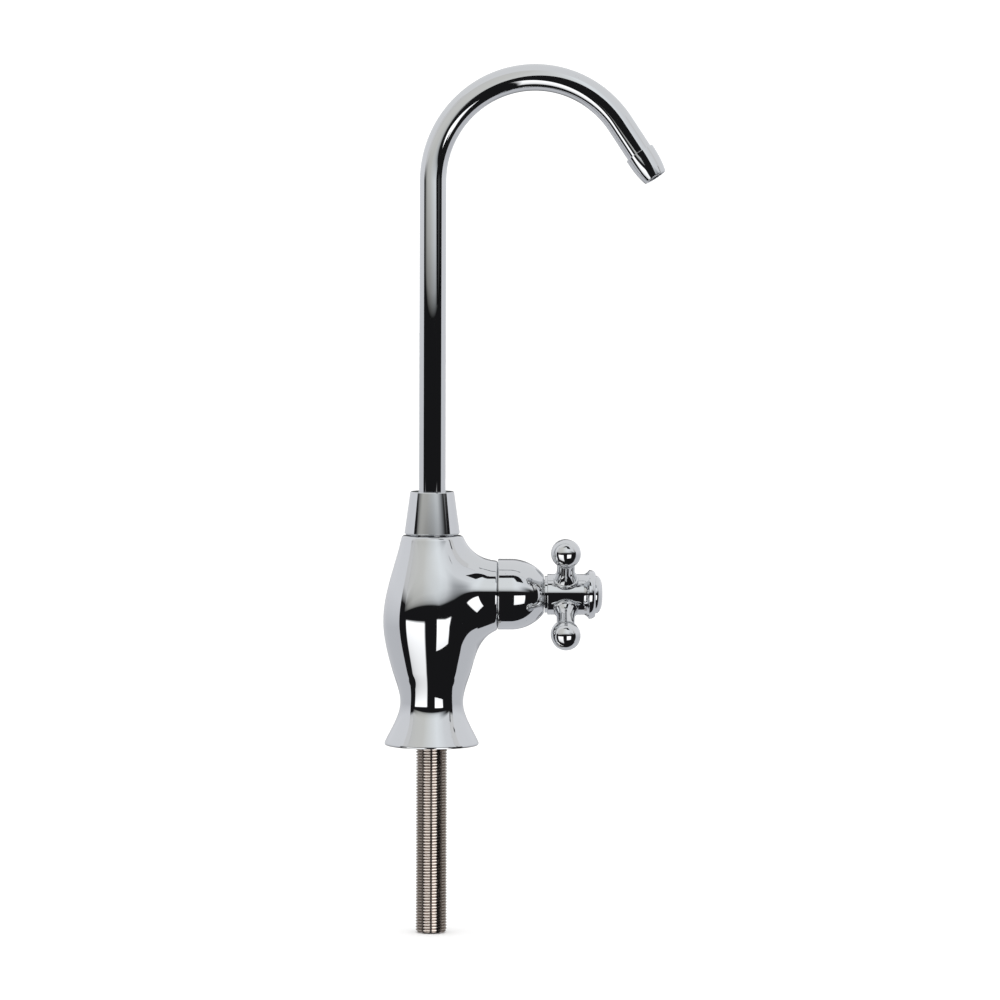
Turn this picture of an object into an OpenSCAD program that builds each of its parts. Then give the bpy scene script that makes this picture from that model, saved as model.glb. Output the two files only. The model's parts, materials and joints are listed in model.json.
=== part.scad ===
// Swan-neck drinking water filter tap: a cast body with a side branch, a quarter-turn ceramic valve
// under a cross handle, a swivelling gooseneck spout and a threaded shank for the worktop.
// Millimetres. The origin is the centre of the foot's underside, +Z is up and +X runs along the
// valve, from the body to the handle.

/* [Shank] */
// Outside diameter of the threaded shank
shank_d = 11.11; // [10:0.01:12]
// Length of shank that hangs below the foot
shank_len = 68; // [40:0.5:90]
// Bore of the shank
shank_bore_d = 6.5; // [5:0.1:7]
// Depth to which the shank is screwed into the body
shank_seat = 13; // [9:0.5:15]
// Depth of the shank's thread, removed where it enters the body
thread_depth = 0.55; // [0.4:0.05:0.7]

/* [Body casting] */
// Height of the casting, from the worktop to the shoulder under the collar
body_h = 75.8; // [70:0.2:95]
// Radius of the flared foot
foot_r = 17.3; // [16.5:0.1:19]
// Radius of the waist above the foot
waist_r = 11.3; // [10:0.1:12.5]
// Height of the waist
waist_z = 15.5; // [13:0.5:19]
// Radius of the flank, between waist and belly
flank_r = 14.2; // [13:0.1:15]
// Height of the flank
flank_z = 27; // [23:0.5:31]
// Radius of the belly
belly_r = 17.5; // [16:0.1:19]
// Distance from the shoulder down to the belly
belly_drop = 30.8; // [28:0.2:33]
// Radius of the shoulder under the collar
crown_r = 10.8; // [10.2:0.1:12]

/* [Side branch] */
// Distance from the shoulder down to the branch's axis
branch_drop = 21.2; // [19.6:0.2:22.2]
// Radius of the branch at its end
branch_r = 12; // [11.4:0.1:13]
// Distance from the vertical axis to the branch's end face
branch_reach = 23.8; // [22:0.2:28]
// Size of the cast fillet above and below the branch
branch_fillet = 12; // [8:0.5:14]
// Size of that fillet at the branch's two sides
side_fillet = 5.5; // [4:0.5:8]

/* [Valve cartridge] */
// Distance from the vertical axis to the valve seat
seat_x = 7; // [6.4:0.1:7.8]
// Radius of the drilled water way to the seat
way_r = 3; // [2.4:0.1:3.2]
// Radius of the ceramic discs
disc_r = 5.5; // [5.2:0.05:5.8]
// Thickness of each ceramic disc
disc_t = 2.6; // [2:0.1:3]
// Thickness of the rubber ring on the seat
seat_seal_t = 1.6; // [1.2:0.1:2]
// Diameter of the spindle
spindle_d = 8; // [7.2:0.1:8.2]
// Wall of the gland round the spindle
gland_wall = 1.55; // [1.3:0.05:1.7]
// Width across the flats of the cartridge's hexagon
hex_flats = 18; // [17.5:0.5:18.5]
// Thickness of the hexagon
hex_t = 3.2; // [2.5:0.1:4]

/* [Bonnet] */
// Length of the bonnet
bonnet_len = 16.5; // [15:0.5:20]
// Length of its straight skirt
bonnet_skirt = 4.7; // [4.4:0.1:8]
// Radius of the bonnet at the branch
bonnet_r = 12.7; // [12.4:0.1:13.5]
// Radius of its front rim
bonnet_rim_r = 6.8; // [6.7:0.1:7.6]
// Wall of the bonnet
bonnet_wall = 1.4; // [1:0.1:1.5]

/* [Cross handle] */
// Length of the hub
hub_len = 18.3; // [17:0.1:22]
// Radius of the hub
hub_r = 7.3; // [6.8:0.1:7.8]
// Height of the bead round the hub's front edge
bead_h = 1.5; // [0.8:0.05:2]
// Width of that bead
bead_w = 4.5; // [3.5:0.1:5]
// Distance from the hub's back to the arms' axes
arm_x = 7.6; // [7.2:0.1:8.5]
// Distance from the hub's axis to the centre of each ball
ball_reach = 20.7; // [18:0.1:26]
// Diameter of the balls
ball_d = 10.4; // [8.5:0.1:12]
// Radius of the arms' necks
neck_r = 3.1; // [2.6:0.1:3.6]
// Radius of the bead at the foot of each arm
root_r = 4.5; // [4.2:0.05:4.6]
// Angle of the first arm above the horizontal
arm_angle = 49; // [0:1:90]
// Radius of the cap on the hub's front
cap_r = 6.8; // [6.2:0.1:7.2]
// Height of that cap's dome
cap_t = 2.5; // [1.6:0.1:3.5]

/* [Spout] */
// Outside diameter of the spout tube
tube_d = 9.525; // [8.5:0.025:10]
// Wall of the spout tube
tube_wall = 1; // [0.7:0.1:1.3]
// Height at which the bend starts
bend_z = 203; // [150:1:260]
// Radius of the bend at the tube's centre line
bend_r = 37.3; // [30:0.1:60]
// Angle of the bend
bend_sweep = 146; // [120:1:180]
// Length of straight tube after the bend
tail_len = 18; // [9:0.1:40]
// Angle at which the spout rests, from the valve's direction
spout_turn = -12; // [-180:1:180]
// Diameter of the spigot that turns in the body
spigot_d = 12; // [11.4:0.1:12.4]
// Height of the body's neck, which carries the collar's thread
collar_thread = 6.4; // [5.5:0.1:8]

/* [Collar and nozzle] */
// Height of the conical collar
collar_h = 15.4; // [13:0.1:20]
// Radius of the collar's foot
collar_foot_r = 9.9; // [9.7:0.1:10.8]
// Radius of the collar's top
collar_top_r = 7.85; // [7.7:0.05:8.8]
// Length of the nozzle tip
nozzle_len = 10.5; // [9:0.1:14]
// Length of tube that the nozzle tip sleeves
nozzle_sleeve = 5.5; // [4:0.1:6]
// Height of the nozzle tip's upper edge above the tube
nozzle_step = 0.7; // [0.6:0.05:1.2]
// Radius of its lower end
nozzle_end_r = 4.25; // [4.1:0.05:4.6]
// Diameter of the outlet
outlet_d = 6.8; // [5.5:0.1:7]

/* [Fits] */
// Radial clearance between pieces that turn in each other
run_gap = 0.05; // [0.03:0.01:0.1]
// Radial clearance between pieces that are screwed or pressed together
fit_gap = 0.05; // [0.02:0.01:0.1]
// Clearance between other faces that move past each other
free_gap = 0.3; // [0.25:0.05:0.4]

/* [Hidden] */
$fn = 64;

// A cutting tool runs this far past the face that it starts from
over = 1;
// Steps along a curved outline
curve_steps = 14;
chrome = "#d5d8dc";
steel = "#b8b2ab";
brass = "#c8a24a";
rubber = "#26262a";
plastic = "#eeeeea";
ceramic = "#f4efe4";

// Slopes of the casting's outline at its foot, flank and shoulder
foot_slope = -0.42;
flank_slope = 0.29;
crown_slope = -0.2;
// Heights that hang from the shoulder, so that a taller casting gets a longer stem
belly_z = body_h - belly_drop;
branch_z = body_h - branch_drop;
// Distance from the vertical axis at which the branch's own form starts, inside the belly
branch_start = 8;

// Shank and the seals under the foot
shank_r = shank_d / 2;
shank_bore_r = shank_bore_d / 2;
shank_tail_r = shank_r - thread_depth;
shank_chamfer = 0.7;
shank_seal_t = 1.2;
base_ring_d = 2;
base_ring_inset = 4.3;
base_ring_r = foot_r - base_ring_inset;
groove_room = 0.2;

// Valve, as radii from its axis
skirt_gap = 0.1;
skirt_wall = 1;
skirt_in = disc_r + skirt_gap;
skirt_r = skirt_in + skirt_wall;
chamber_gap = 0.9;
chamber_r = skirt_r + chamber_gap;
cartridge_step = 0.8;
cartridge_r = chamber_r + cartridge_step - fit_gap;
spindle_r = spindle_d / 2;
gland_bore_r = spindle_r + run_gap;
gland_r = gland_bore_r + gland_wall;
port_in = 1.4;
port_wall = 1.1;
port_out = disc_r - port_wall;
port_angle = 72;
key_w = 3;
tang_depth = 1.2;

// Valve, as distances from the vertical axis, from the seat outwards
lap_gap = 0.05;
skirt_stand = 0.6;
skirt_x = seat_x + skirt_stand;
fixed_x = seat_x + seat_seal_t;
moving_x = fixed_x + disc_t + lap_gap;
moving_back = moving_x + disc_t;
thrust_flange = 1.6;
thrust_x = moving_back + thrust_flange;
thrust_t = 0.6;
shoulder_x = thrust_x + thrust_t + lap_gap;
chamber_end = 0.7;
thread_x = moving_back + chamber_end;
cartridge_ring_d = 1.2;
ring_recess = cartridge_ring_d + groove_room;
bonnet_end = branch_reach + bonnet_len;
gland_inset = 0.5;
gland_end = bonnet_end - gland_inset;
clip_gap = 0.15;
clip_t = 0.8;
clip_depth = 0.5;
clip_rise = 1.2;
clip_x = gland_end + clip_gap;
clip_r = spindle_r + clip_rise;
clip_land = 0.6;
spline_x = clip_x + clip_t + clip_land;
spindle_ring_d = 1.2;
ring_inset = 6;
ring_pitch = 4.5;
outer_ring_x = gland_end - ring_inset;
inner_ring_x = outer_ring_x - ring_pitch;

// Handle, as distances from the vertical axis
hub_x = bonnet_end + free_gap;
boss_len = 1;
boss_step = 0.7;
boss_r = hub_r - boss_step;
clip_pocket_r = clip_r + free_gap;
clip_pocket = spline_x + free_gap - hub_x;
hub_end = hub_x + hub_len;
cap_pocket = 5.4;
cap_wall = 1.8;
cap_pocket_r = hub_r - cap_wall;
web_t = 2;
web_end = hub_end - cap_pocket;
spindle_end = web_end - web_t;
spline_teeth = 20;
spline_step = 0.4;
spline_tip_r = spindle_r - spline_step;
spline_tooth = 0.45;
screw_r = 2;
screw_depth = 7;
screw_head_r = 3.5;
screw_head_t = 2.2;
screw_key = 3;
cap_plug = 2.4;
stub_r = 2;
stub_wall = 1;
stub_in = spline_tip_r + stub_wall;
ball_r = ball_d / 2;
bead_round = 0.55;
bead_lift = 0.65;
pedestal_r = root_r - 2 * bead_round;
root_len = 4;

// Spout, as heights and radii
tube_r = tube_d / 2;
spigot_r = spigot_d / 2;
socket_r = spigot_r + run_gap;
neck_wall = 1.75;
collar_neck_r = socket_r + neck_wall;
neck_top = body_h + collar_thread;
socket_floor = 1.5;
socket_z = branch_z + chamber_r + socket_floor;
spigot_lift = 1;
spigot_z = socket_z + spigot_lift;
spout_ring_d = 1.3;
spout_ring_inset = 2.2;
spout_ring_pitch = 4;
lower_ring_z = spigot_z + spout_ring_inset;
upper_ring_z = lower_ring_z + spout_ring_pitch;
tube_lift = 3;
tube_seat_z = upper_ring_z + tube_lift;
tube_step = 0.3;
spigot_bore_r = tube_r - tube_wall - tube_step;
washer_t = 0.8;
flange_t = 2;
flange_step = 0.5;
flange_r = collar_neck_r - flange_step;
flange_z = neck_top + washer_t + lap_gap;
top_washer_z = flange_z + flange_t + lap_gap;
collar_gap = 0.4;
collar_z = body_h + collar_gap;
collar_chamfer = 0.5;
outlet_way_r = 2;
outlet_way_x = seat_x + 3;
outlet_way_dip = 2.5;
outlet_way_rise = 9;
tail_hair = 0.03;
tail_lap = 0.5;
nozzle_r = tube_r + nozzle_step;
outlet_r = outlet_d / 2;

// Turned shapes

function arc(centre, radius, from, to) =
    [for (i = [0 : curve_steps])
        let (a = from + (to - from) * i / curve_steps)
        centre + radius * [cos(a), sin(a)]];

// A solid of revolution about +Z; each point is [radius, height]
module turned(outline) {
    rotate_extrude() polygon(outline);
}

// A round or square-cut ring about +Z
module o_ring(centre_r, section_d) {
    rotate_extrude() translate([centre_r, 0]) circle(d = section_d);
}

module washer(inner_r, outer_r, thickness) {
    difference() {
        cylinder(r = outer_r, h = thickness);
        translate([0, 0, -over]) cylinder(r = inner_r, h = thickness + 2 * over);
    }
}

// Cutter for a groove in a shaft of the given radius, for a ring centred at height 0
module ring_groove(shaft_r, section_d) {
    width = section_d + groove_room;
    floor_r = shaft_r - section_d - fit_gap;
    translate([0, 0, -width / 2]) washer(floor_r, shaft_r + over, width);
}

// Children are drawn along +Z and end up along the valve's axis, with height as distance along X
module on_valve(x = 0) {
    translate([x, 0, branch_z]) rotate([0, 90, 0]) children();
}

// Children are drawn in the spout's own plane, before it is swivelled
module on_spout() {
    rotate([0, 0, spout_turn]) children();
}

// Children are drawn along +Z, which becomes the direction of flow at the end of the bend
module on_tail() {
    on_spout()
        translate([bend_r - bend_r * cos(bend_sweep), 0, bend_z + bend_r * sin(bend_sweep)])
            rotate([0, bend_sweep, 0])
                children();
}

// Children are drawn along +Z, which becomes one of the handle's four arms
module on_arm(number) {
    translate([hub_x + arm_x, 0, branch_z])
        rotate([90 * number - arm_angle, 0, 0])
            children();
}

// Cast skin of the body: a turned vase and a round branch, blended by a rolling fillet.
// Each level is a closed horizontal section, found along rays from the vertical axis.

stations = [
    [0, foot_r, foot_slope],
    [waist_z, waist_r, 0],
    [flank_z, flank_r, flank_slope],
    [belly_z, belly_r, 0],
    [body_h, crown_r, crown_slope]
];

// Cubic between two stations, which hold [height, radius, slope]
function cubic(a, b, z) =
    let (h = b[0] - a[0], t = (z - a[0]) / h)
    a[1] + (b[1] - a[1]) * t * t * (3 - 2 * t)
        + h * a[2] * t * (1 - t) * (1 - t)
        - h * b[2] * t * t * (1 - t);

function vase_r(z, i = 0) =
    i == len(stations) - 2 || z <= stations[i + 1][0]
        ? cubic(stations[i], stations[i + 1], z)
        : vase_r(z, i + 1);

// Fillet's size at a distance to the side of the branch's axis and a height above it
axis_hair = 0.01;
function fillet(aside, rise) =
    side_fillet + (branch_fillet - side_fillet) * pow(rise / norm([rise, aside, axis_hair]), 2);

// Smaller of two distances, rounded where they are within a fillet of each other
function blended(a, b, size) =
    let (h = max(size - abs(a - b), 0) / size)
    min(a, b) - h * h * size / 4;

// Negative inside the casting, positive outside
function skin(x, y, z) =
    blended(
        norm([x, y]) - vase_r(z),
        norm([min(x - branch_start, 0), y, z - branch_z]) - branch_r,
        fillet(y, z - branch_z)
    );

// Distance along a direction at which the skin is crossed, by halving
halvings = 20;
function crossing(start, dir, low, high, n = halvings) =
    let (mid = (low + high) / 2, p = start + mid * dir)
    n == 0 ? mid
        : skin(p[0], p[1], p[2]) < 0
            ? crossing(start, dir, mid, high, n - 1)
            : crossing(start, dir, low, mid, n - 1);

branch_end = [branch_reach, 0, branch_z];
skin_far = branch_reach + belly_r;
branch_low = branch_z - crossing(branch_end, [0, 0, -1], 0, branch_z);
branch_high = branch_z + crossing(branch_end, [0, 0, 1], 0, body_h - branch_z);

function even(from, to, n) = [for (i = [0 : n - 1]) from + (to - from) * i / n];
function crowded(from, to, n) =
    [for (i = [0 : n - 1]) (from + to) / 2 - (to - from) / 2 * cos(180 * i / n)];

foot_levels = 12;
flank_levels = 10;
branch_levels = 18;
crown_levels = 10;
skin_levels = concat(
    even(0, waist_z, foot_levels),
    even(waist_z, branch_low, flank_levels),
    crowded(branch_low, branch_high, branch_levels),
    even(branch_high, body_h, crown_levels),
    [body_h]
);

// Half of the rays, closer together near the branch, and the least angle of the first one
half_rays = 26;
least_angle = 1.5;
ray_crowding = 0.45;

function first_angle(z) =
    z > branch_low && z < branch_high
        ? max(least_angle, atan2(crossing([branch_reach, 0, z], [0, 1, 0], 0, branch_r + branch_fillet),
            branch_reach))
        : least_angle;

function half_section(z) =
    let (a0 = first_angle(z))
    [for (i = [0 : half_rays])
        let (
            u = i / half_rays,
            a = a0 + (180 - a0) * u * (1 - ray_crowding + ray_crowding * u),
            to_end = a < 60 ? branch_reach / cos(a) : skin_far,
            r = min(to_end, crossing([0, 0, z], [cos(a), sin(a), 0], 0, skin_far))
        )
        [r * cos(a), r * sin(a), z]];

function section(z) =
    let (half = half_section(z))
    concat(half, [for (i = [half_rays - 1 : -1 : 0]) [half[i][0], -half[i][1], z]]);

module cast_skin() {
    n = 2 * half_rays + 1;
    top = len(skin_levels) - 1;
    points = [for (z = skin_levels) each section(z)];
    sides = [for (level = [0 : top - 1], i = [0 : n - 1])
        let (a = level * n + i, b = level * n + (i + 1) % n)
        each [[a, a + n, b + n], [a, b + n, b]]];
    lid = [for (i = [n - 1 : -1 : 0]) top * n + i];
    sole = [for (i = [0 : n - 1]) i];
    polyhedron(points, concat(sides, [lid, sole]), convexity = 6);
}

// The drilled way from the valve chamber up to the spout's socket
module outlet_way() {
    from = [outlet_way_x, 0, branch_z + chamber_r - outlet_way_dip];
    to = [0, 0, socket_z + outlet_way_rise];
    along = to - from;
    translate(from)
        rotate([0, atan2(along[0], along[2]), 0])
            cylinder(r = outlet_way_r, h = norm(along));
}

// Fixed pieces

module body_casting() {
    color(chrome)
        difference() {
            union() {
                cast_skin();
                translate([0, 0, body_h - over]) cylinder(r = collar_neck_r, h = collar_thread + over);
            }
            translate([0, 0, -over])
                cylinder(r = shank_tail_r + fit_gap, h = shank_seat + shank_seal_t + over);
            translate([0, 0, shank_seat]) cylinder(r = way_r, h = branch_z + way_r - shank_seat);
            translate([0, 0, -over])
                washer(base_ring_r - base_ring_d / 2 - groove_room,
                    base_ring_r + base_ring_d / 2 + groove_room, base_ring_d + groove_room + over);
            on_valve(0) cylinder(r = way_r, h = seat_x + over);
            on_valve(seat_x) cylinder(r = chamber_r, h = thread_x - seat_x + over);
            on_valve(thread_x) cylinder(r = cartridge_r + fit_gap, h = branch_reach - thread_x + over);
            on_valve(branch_reach - ring_recess)
                cylinder(r = cartridge_r + ring_recess, h = ring_recess + over);
            translate([0, 0, socket_z]) cylinder(r = socket_r, h = neck_top - socket_z + over);
            outlet_way();
        }
}

module threaded_shank() {
    color(steel)
        turned([
            [shank_bore_r, -shank_len],
            [shank_r - shank_chamfer, -shank_len],
            [shank_r, shank_chamfer - shank_len],
            [shank_r, 0],
            [shank_tail_r, 0],
            [shank_tail_r, shank_seat],
            [shank_bore_r, shank_seat]
        ]);
}

module shank_seal() {
    color(rubber)
        translate([0, 0, shank_seat]) washer(shank_bore_r, shank_tail_r, shank_seal_t);
}

module base_seal() {
    color(rubber)
        translate([0, 0, base_ring_d / 2 + fit_gap]) o_ring(base_ring_r, base_ring_d);
}

module cartridge_body() {
    window = moving_back - fixed_x - disc_t / 2;
    color(brass)
        on_valve()
            difference() {
                union() {
                    turned([
                        [skirt_in, skirt_x],
                        [skirt_r, skirt_x],
                        [skirt_r, thread_x + fit_gap],
                        [cartridge_r, thread_x + fit_gap],
                        [cartridge_r, branch_reach],
                        [gland_r, branch_reach],
                        [gland_r, gland_end],
                        [gland_bore_r, gland_end],
                        [gland_bore_r, shoulder_x],
                        [skirt_in, shoulder_x]
                    ]);
                    translate([0, 0, branch_reach])
                        difference() {
                            cylinder(d = hex_flats / cos(30), h = hex_t, $fn = 6);
                            translate([0, 0, -over]) cylinder(r = gland_r - over, h = hex_t + 2 * over);
                        }
                }
                // Two windows let the water out, two slots hold the fixed disc's keys
                translate([-disc_r / 2, -chamber_r, moving_back - window])
                    cube([disc_r, 2 * chamber_r, window]);
                translate([-chamber_r, -key_w / 2 - fit_gap, skirt_x - over])
                    cube([2 * chamber_r, key_w + 2 * fit_gap, fixed_x + disc_t - skirt_x + over]);
            }
}

module cartridge_seal() {
    color(rubber)
        on_valve(branch_reach - ring_recess / 2)
            o_ring(cartridge_r + fit_gap + cartridge_ring_d / 2, cartridge_ring_d);
}

module seat_seal() {
    color(rubber)
        on_valve(seat_x) washer(port_out, disc_r, seat_seal_t);
}

// Two opposite sectors through a disc, a quarter turn from those of the other disc when shut
module ports(angle) {
    for (side = [0, 180])
        rotate([0, 0, angle + side - port_angle / 2])
            translate([0, 0, -over])
                rotate_extrude(angle = port_angle)
                    translate([port_in, 0]) square([port_out - port_in, disc_t + 2 * over]);
}

module fixed_disc() {
    key_r = skirt_r - fit_gap;
    color(ceramic)
        on_valve(fixed_x)
            difference() {
                union() {
                    cylinder(r = disc_r, h = disc_t);
                    translate([-key_r, -key_w / 2, 0]) cube([2 * key_r, key_w, disc_t / 2]);
                }
                ports(0);
            }
}

module bonnet() {
    drop = bonnet_r - bonnet_rim_r;
    dome_len = bonnet_len - bonnet_skirt;
    dome_r = (dome_len * dome_len + drop * drop) / (2 * drop);
    dome_angle = asin(dome_len / dome_r);
    dome_centre = [bonnet_r - dome_r, bonnet_skirt];
    land_r = gland_r + fit_gap;
    land_angle = acos((land_r - dome_centre[0]) / (dome_r - bonnet_wall));
    color(chrome)
        on_valve(branch_reach)
            turned(concat(
                [[bonnet_r - bonnet_wall, 0], [bonnet_r, 0]],
                arc(dome_centre, dome_r, 0, dome_angle),
                [[land_r, bonnet_len]],
                arc(dome_centre, dome_r - bonnet_wall, min(land_angle, dome_angle - 6), 0)
            ));
}

module spout_collar() {
    shoulder = top_washer_z + washer_t;
    thread_r = collar_neck_r + fit_gap;
    hole_r = tube_r + free_gap;
    top = collar_z + collar_h;
    color(chrome)
        turned([
            [thread_r, collar_z],
            [collar_foot_r - collar_chamfer, collar_z],
            [collar_foot_r, collar_z + collar_chamfer],
            [collar_top_r, top - collar_chamfer / 2],
            [collar_top_r - collar_chamfer / 2, top],
            [hole_r, top],
            [hole_r, shoulder],
            [thread_r, shoulder]
        ]);
}

module swivel_washer() {
    washer(spigot_r + free_gap, collar_neck_r - free_gap, washer_t);
}

module swivel_washer_lower() {
    color(plastic) translate([0, 0, neck_top]) swivel_washer();
}

module swivel_washer_upper() {
    color(plastic) translate([0, 0, top_washer_z]) swivel_washer();
}

// Pieces that turn with the handle

// Outline of a straight spline, grown by a clearance
module spline(grow = 0) {
    polygon([for (i = [0 : 2 * spline_teeth - 1])
        let (a = 180 * i / spline_teeth, r = spline_tip_r + grow - (i % 2) * spline_tooth)
        [r * cos(a), r * sin(a)]]);
}

module spindle() {
    color(brass)
        on_valve()
            difference() {
                union() {
                    turned([
                        [0, moving_back],
                        [disc_r - skirt_gap, moving_back],
                        [disc_r - skirt_gap, thrust_x],
                        [spindle_r, thrust_x],
                        [spindle_r, spline_x],
                        [0, spline_x]
                    ]);
                    translate([-disc_r + port_wall, -key_w / 2, moving_back - tang_depth])
                        cube([2 * (disc_r - port_wall), key_w, tang_depth + over]);
                    translate([0, 0, spline_x - over])
                        linear_extrude(spindle_end - spline_x + over) spline();
                }
                translate([0, 0, inner_ring_x]) ring_groove(spindle_r, spindle_ring_d);
                translate([0, 0, outer_ring_x]) ring_groove(spindle_r, spindle_ring_d);
                translate([0, 0, clip_x]) washer(spindle_r - clip_depth, spindle_r + over, clip_t);
                translate([0, 0, spindle_end - screw_depth - over])
                    cylinder(r = screw_r + fit_gap, h = screw_depth + 2 * over);
            }
}

module moving_disc() {
    color(ceramic)
        on_valve(moving_x)
            difference() {
                cylinder(r = disc_r, h = disc_t);
                ports(90);
                translate([-disc_r - over, -key_w / 2 - fit_gap, disc_t - tang_depth - fit_gap])
                    cube([2 * (disc_r + over), key_w + 2 * fit_gap, tang_depth + over]);
            }
}

module thrust_washer() {
    color(plastic)
        on_valve(thrust_x) washer(spindle_r + fit_gap, disc_r - skirt_gap, thrust_t);
}

module spindle_o_ring(x) {
    color(rubber)
        on_valve(x) o_ring(spindle_r - spindle_ring_d / 2, spindle_ring_d);
}

module spindle_o_ring_inner() {
    spindle_o_ring(inner_ring_x);
}

module spindle_o_ring_outer() {
    spindle_o_ring(outer_ring_x);
}

module spindle_clip() {
    mouth = 60;
    inner_r = spindle_r - clip_depth + fit_gap;
    slack = fit_gap / 2;
    color(steel)
        on_valve(clip_x + slack)
            rotate([0, 0, mouth / 2])
                rotate_extrude(angle = 360 - mouth)
                    translate([inner_r, 0]) square([clip_r - inner_r, clip_t - 2 * slack]);
}

// Front bead of the hub: a hollow flare up to the rim, then a quarter round back to the cap
function bead() =
    [for (i = [0 : 2 * curve_steps])
        let (
            u = i / curve_steps - 1,
            rise = u < 0 ? (1 + u) * (1 + u) : sqrt(1 - u * u)
        )
        [hub_r + bead_h * rise, hub_len - bead_w / 2 * (1 - u)]];

module handle_hub() {
    color(chrome)
        difference() {
            on_valve(hub_x)
                difference() {
                    turned(concat(
                        [[0, 0], [boss_r, 0], [boss_r, boss_len], [hub_r, boss_len]],
                        bead(),
                        [[cap_pocket_r, hub_len], [cap_pocket_r, web_end - hub_x], [0, web_end - hub_x]]
                    ));
                    translate([0, 0, -over]) cylinder(r = clip_pocket_r, h = clip_pocket + over);
                    linear_extrude(spindle_end - hub_x) spline(fit_gap);
                    cylinder(r = screw_r + 2 * fit_gap, h = hub_len);
                }
            for (number = [1 : 4])
                on_arm(number)
                    translate([0, 0, stub_in - fit_gap]) cylinder(r = stub_r + fit_gap, h = hub_r);
        }
}

// An arm: a stub in the hub, a beaded foot saddled on it, a flared neck and a turned ball
module handle_arm(number) {
    bead_z = hub_r + bead_lift;
    flare_r = root_r - bead_round;
    flare_z = bead_z + bead_round;
    ball_meet = asin(neck_r / ball_r);
    color(chrome)
        on_arm(number) {
            difference() {
                turned(concat(
                    [[0, 0], [pedestal_r, 0]],
                    arc([flare_r, bead_z], bead_round, -120, 90),
                    [for (i = [1 : curve_steps])
                        let (u = i / curve_steps)
                        [neck_r + (flare_r - neck_r) * (1 - u) * (1 - u), flare_z + root_len * u]],
                    arc([0, ball_reach], ball_r, ball_meet - 90, 90)
                ));
                rotate([0, 90, 0])
                    translate([0, 0, -hub_r]) cylinder(r = hub_r + fit_gap, h = 2 * hub_r);
            }
            translate([0, 0, stub_in]) cylinder(r = stub_r, h = hub_r + over - stub_in);
        }
}

module handle_screw() {
    color(steel)
        on_valve()
            difference() {
                union() {
                    translate([0, 0, spindle_end - screw_depth])
                        cylinder(r = screw_r, h = web_end - spindle_end + screw_depth + over);
                    translate([0, 0, web_end]) cylinder(r = screw_head_r, h = screw_head_t);
                }
                translate([0, 0, web_end + screw_head_t / 3])
                    cylinder(d = screw_key / cos(30), h = screw_head_t, $fn = 6);
            }
}

// A dome whose outline is rounder than an ellipse at its edge, with a plug in the hub's pocket
module handle_cap() {
    edge_power = 2 / 3;
    plug_r = cap_pocket_r - fit_gap;
    color(chrome)
        on_valve(hub_end)
            turned(concat(
                [[0, -cap_plug], [plug_r, -cap_plug], [plug_r, 0]],
                [for (i = [0 : curve_steps - 1])
                    let (a = 90 * i / curve_steps)
                    [cap_r * pow(cos(a), edge_power), cap_t * sin(a)]],
                [[0, cap_t]]
            ));
}

// Pieces that turn with the spout

// The tail is a hair thinner than the bend and starts inside it, so that the two join
module spout_path(radius) {
    on_spout() {
        translate([0, 0, tube_seat_z]) cylinder(r = radius, h = bend_z - tube_seat_z);
        translate([bend_r, 0, bend_z])
            mirror([1, 0, 0])
                rotate([90, 0, 0])
                    rotate_extrude(angle = bend_sweep) translate([bend_r, 0]) circle(r = radius);
    }
    on_tail()
        translate([0, 0, -tail_lap]) cylinder(r = radius - tail_hair, h = tail_len + tail_lap);
}

module spout_tube() {
    color(chrome)
        difference() {
            spout_path(tube_r);
            spout_path(tube_r - tube_wall);
        }
}

module spout_spigot() {
    color(brass)
        difference() {
            turned([
                [spigot_bore_r, spigot_z],
                [spigot_r, spigot_z],
                [spigot_r, flange_z],
                [flange_r, flange_z],
                [flange_r, flange_z + flange_t],
                [tube_r + fit_gap, flange_z + flange_t],
                [tube_r + fit_gap, tube_seat_z],
                [spigot_bore_r, tube_seat_z]
            ]);
            translate([0, 0, lower_ring_z]) ring_groove(spigot_r, spout_ring_d);
            translate([0, 0, upper_ring_z]) ring_groove(spigot_r, spout_ring_d);
        }
}

module spout_o_ring(z) {
    color(rubber)
        translate([0, 0, z]) o_ring(spigot_r - spout_ring_d / 2, spout_ring_d);
}

module spout_o_ring_lower() {
    spout_o_ring(lower_ring_z);
}

module spout_o_ring_upper() {
    spout_o_ring(upper_ring_z);
}

// A sleeve whose outline falls away more and more towards its end, where it is rounded over
module nozzle_tip() {
    edge = 0.2;
    fullness = 2.6;
    bore_r = tube_r + fit_gap;
    fall = nozzle_r - nozzle_end_r;
    color(chrome)
        on_tail()
            translate([0, 0, tail_len - nozzle_sleeve])
                turned(concat(
                    [[bore_r, 0], [nozzle_r - edge, 0]],
                    [for (i = [0 : curve_steps])
                        let (u = i / curve_steps)
                        [nozzle_r - fall * pow(u, fullness), edge + (nozzle_len - 2 * edge) * u]],
                    [
                        [nozzle_end_r - edge, nozzle_len],
                        [outlet_r, nozzle_len],
                        [outlet_r, nozzle_sleeve],
                        [bore_r, nozzle_sleeve]
                    ]
                ));
}

body_casting();
threaded_shank();
shank_seal();
base_seal();
cartridge_body();
cartridge_seal();
seat_seal();
fixed_disc();
bonnet();
spout_collar();
swivel_washer_lower();
swivel_washer_upper();
spindle();
moving_disc();
thrust_washer();
spindle_o_ring_inner();
spindle_o_ring_outer();
spindle_clip();
handle_hub();
handle_arm(1);  // handle_arm_1
handle_arm(2);  // handle_arm_2
handle_arm(3);  // handle_arm_3
handle_arm(4);  // handle_arm_4
handle_screw();
handle_cap();
spout_tube();
spout_spigot();
spout_o_ring_lower();
spout_o_ring_upper();
nozzle_tip();
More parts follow.
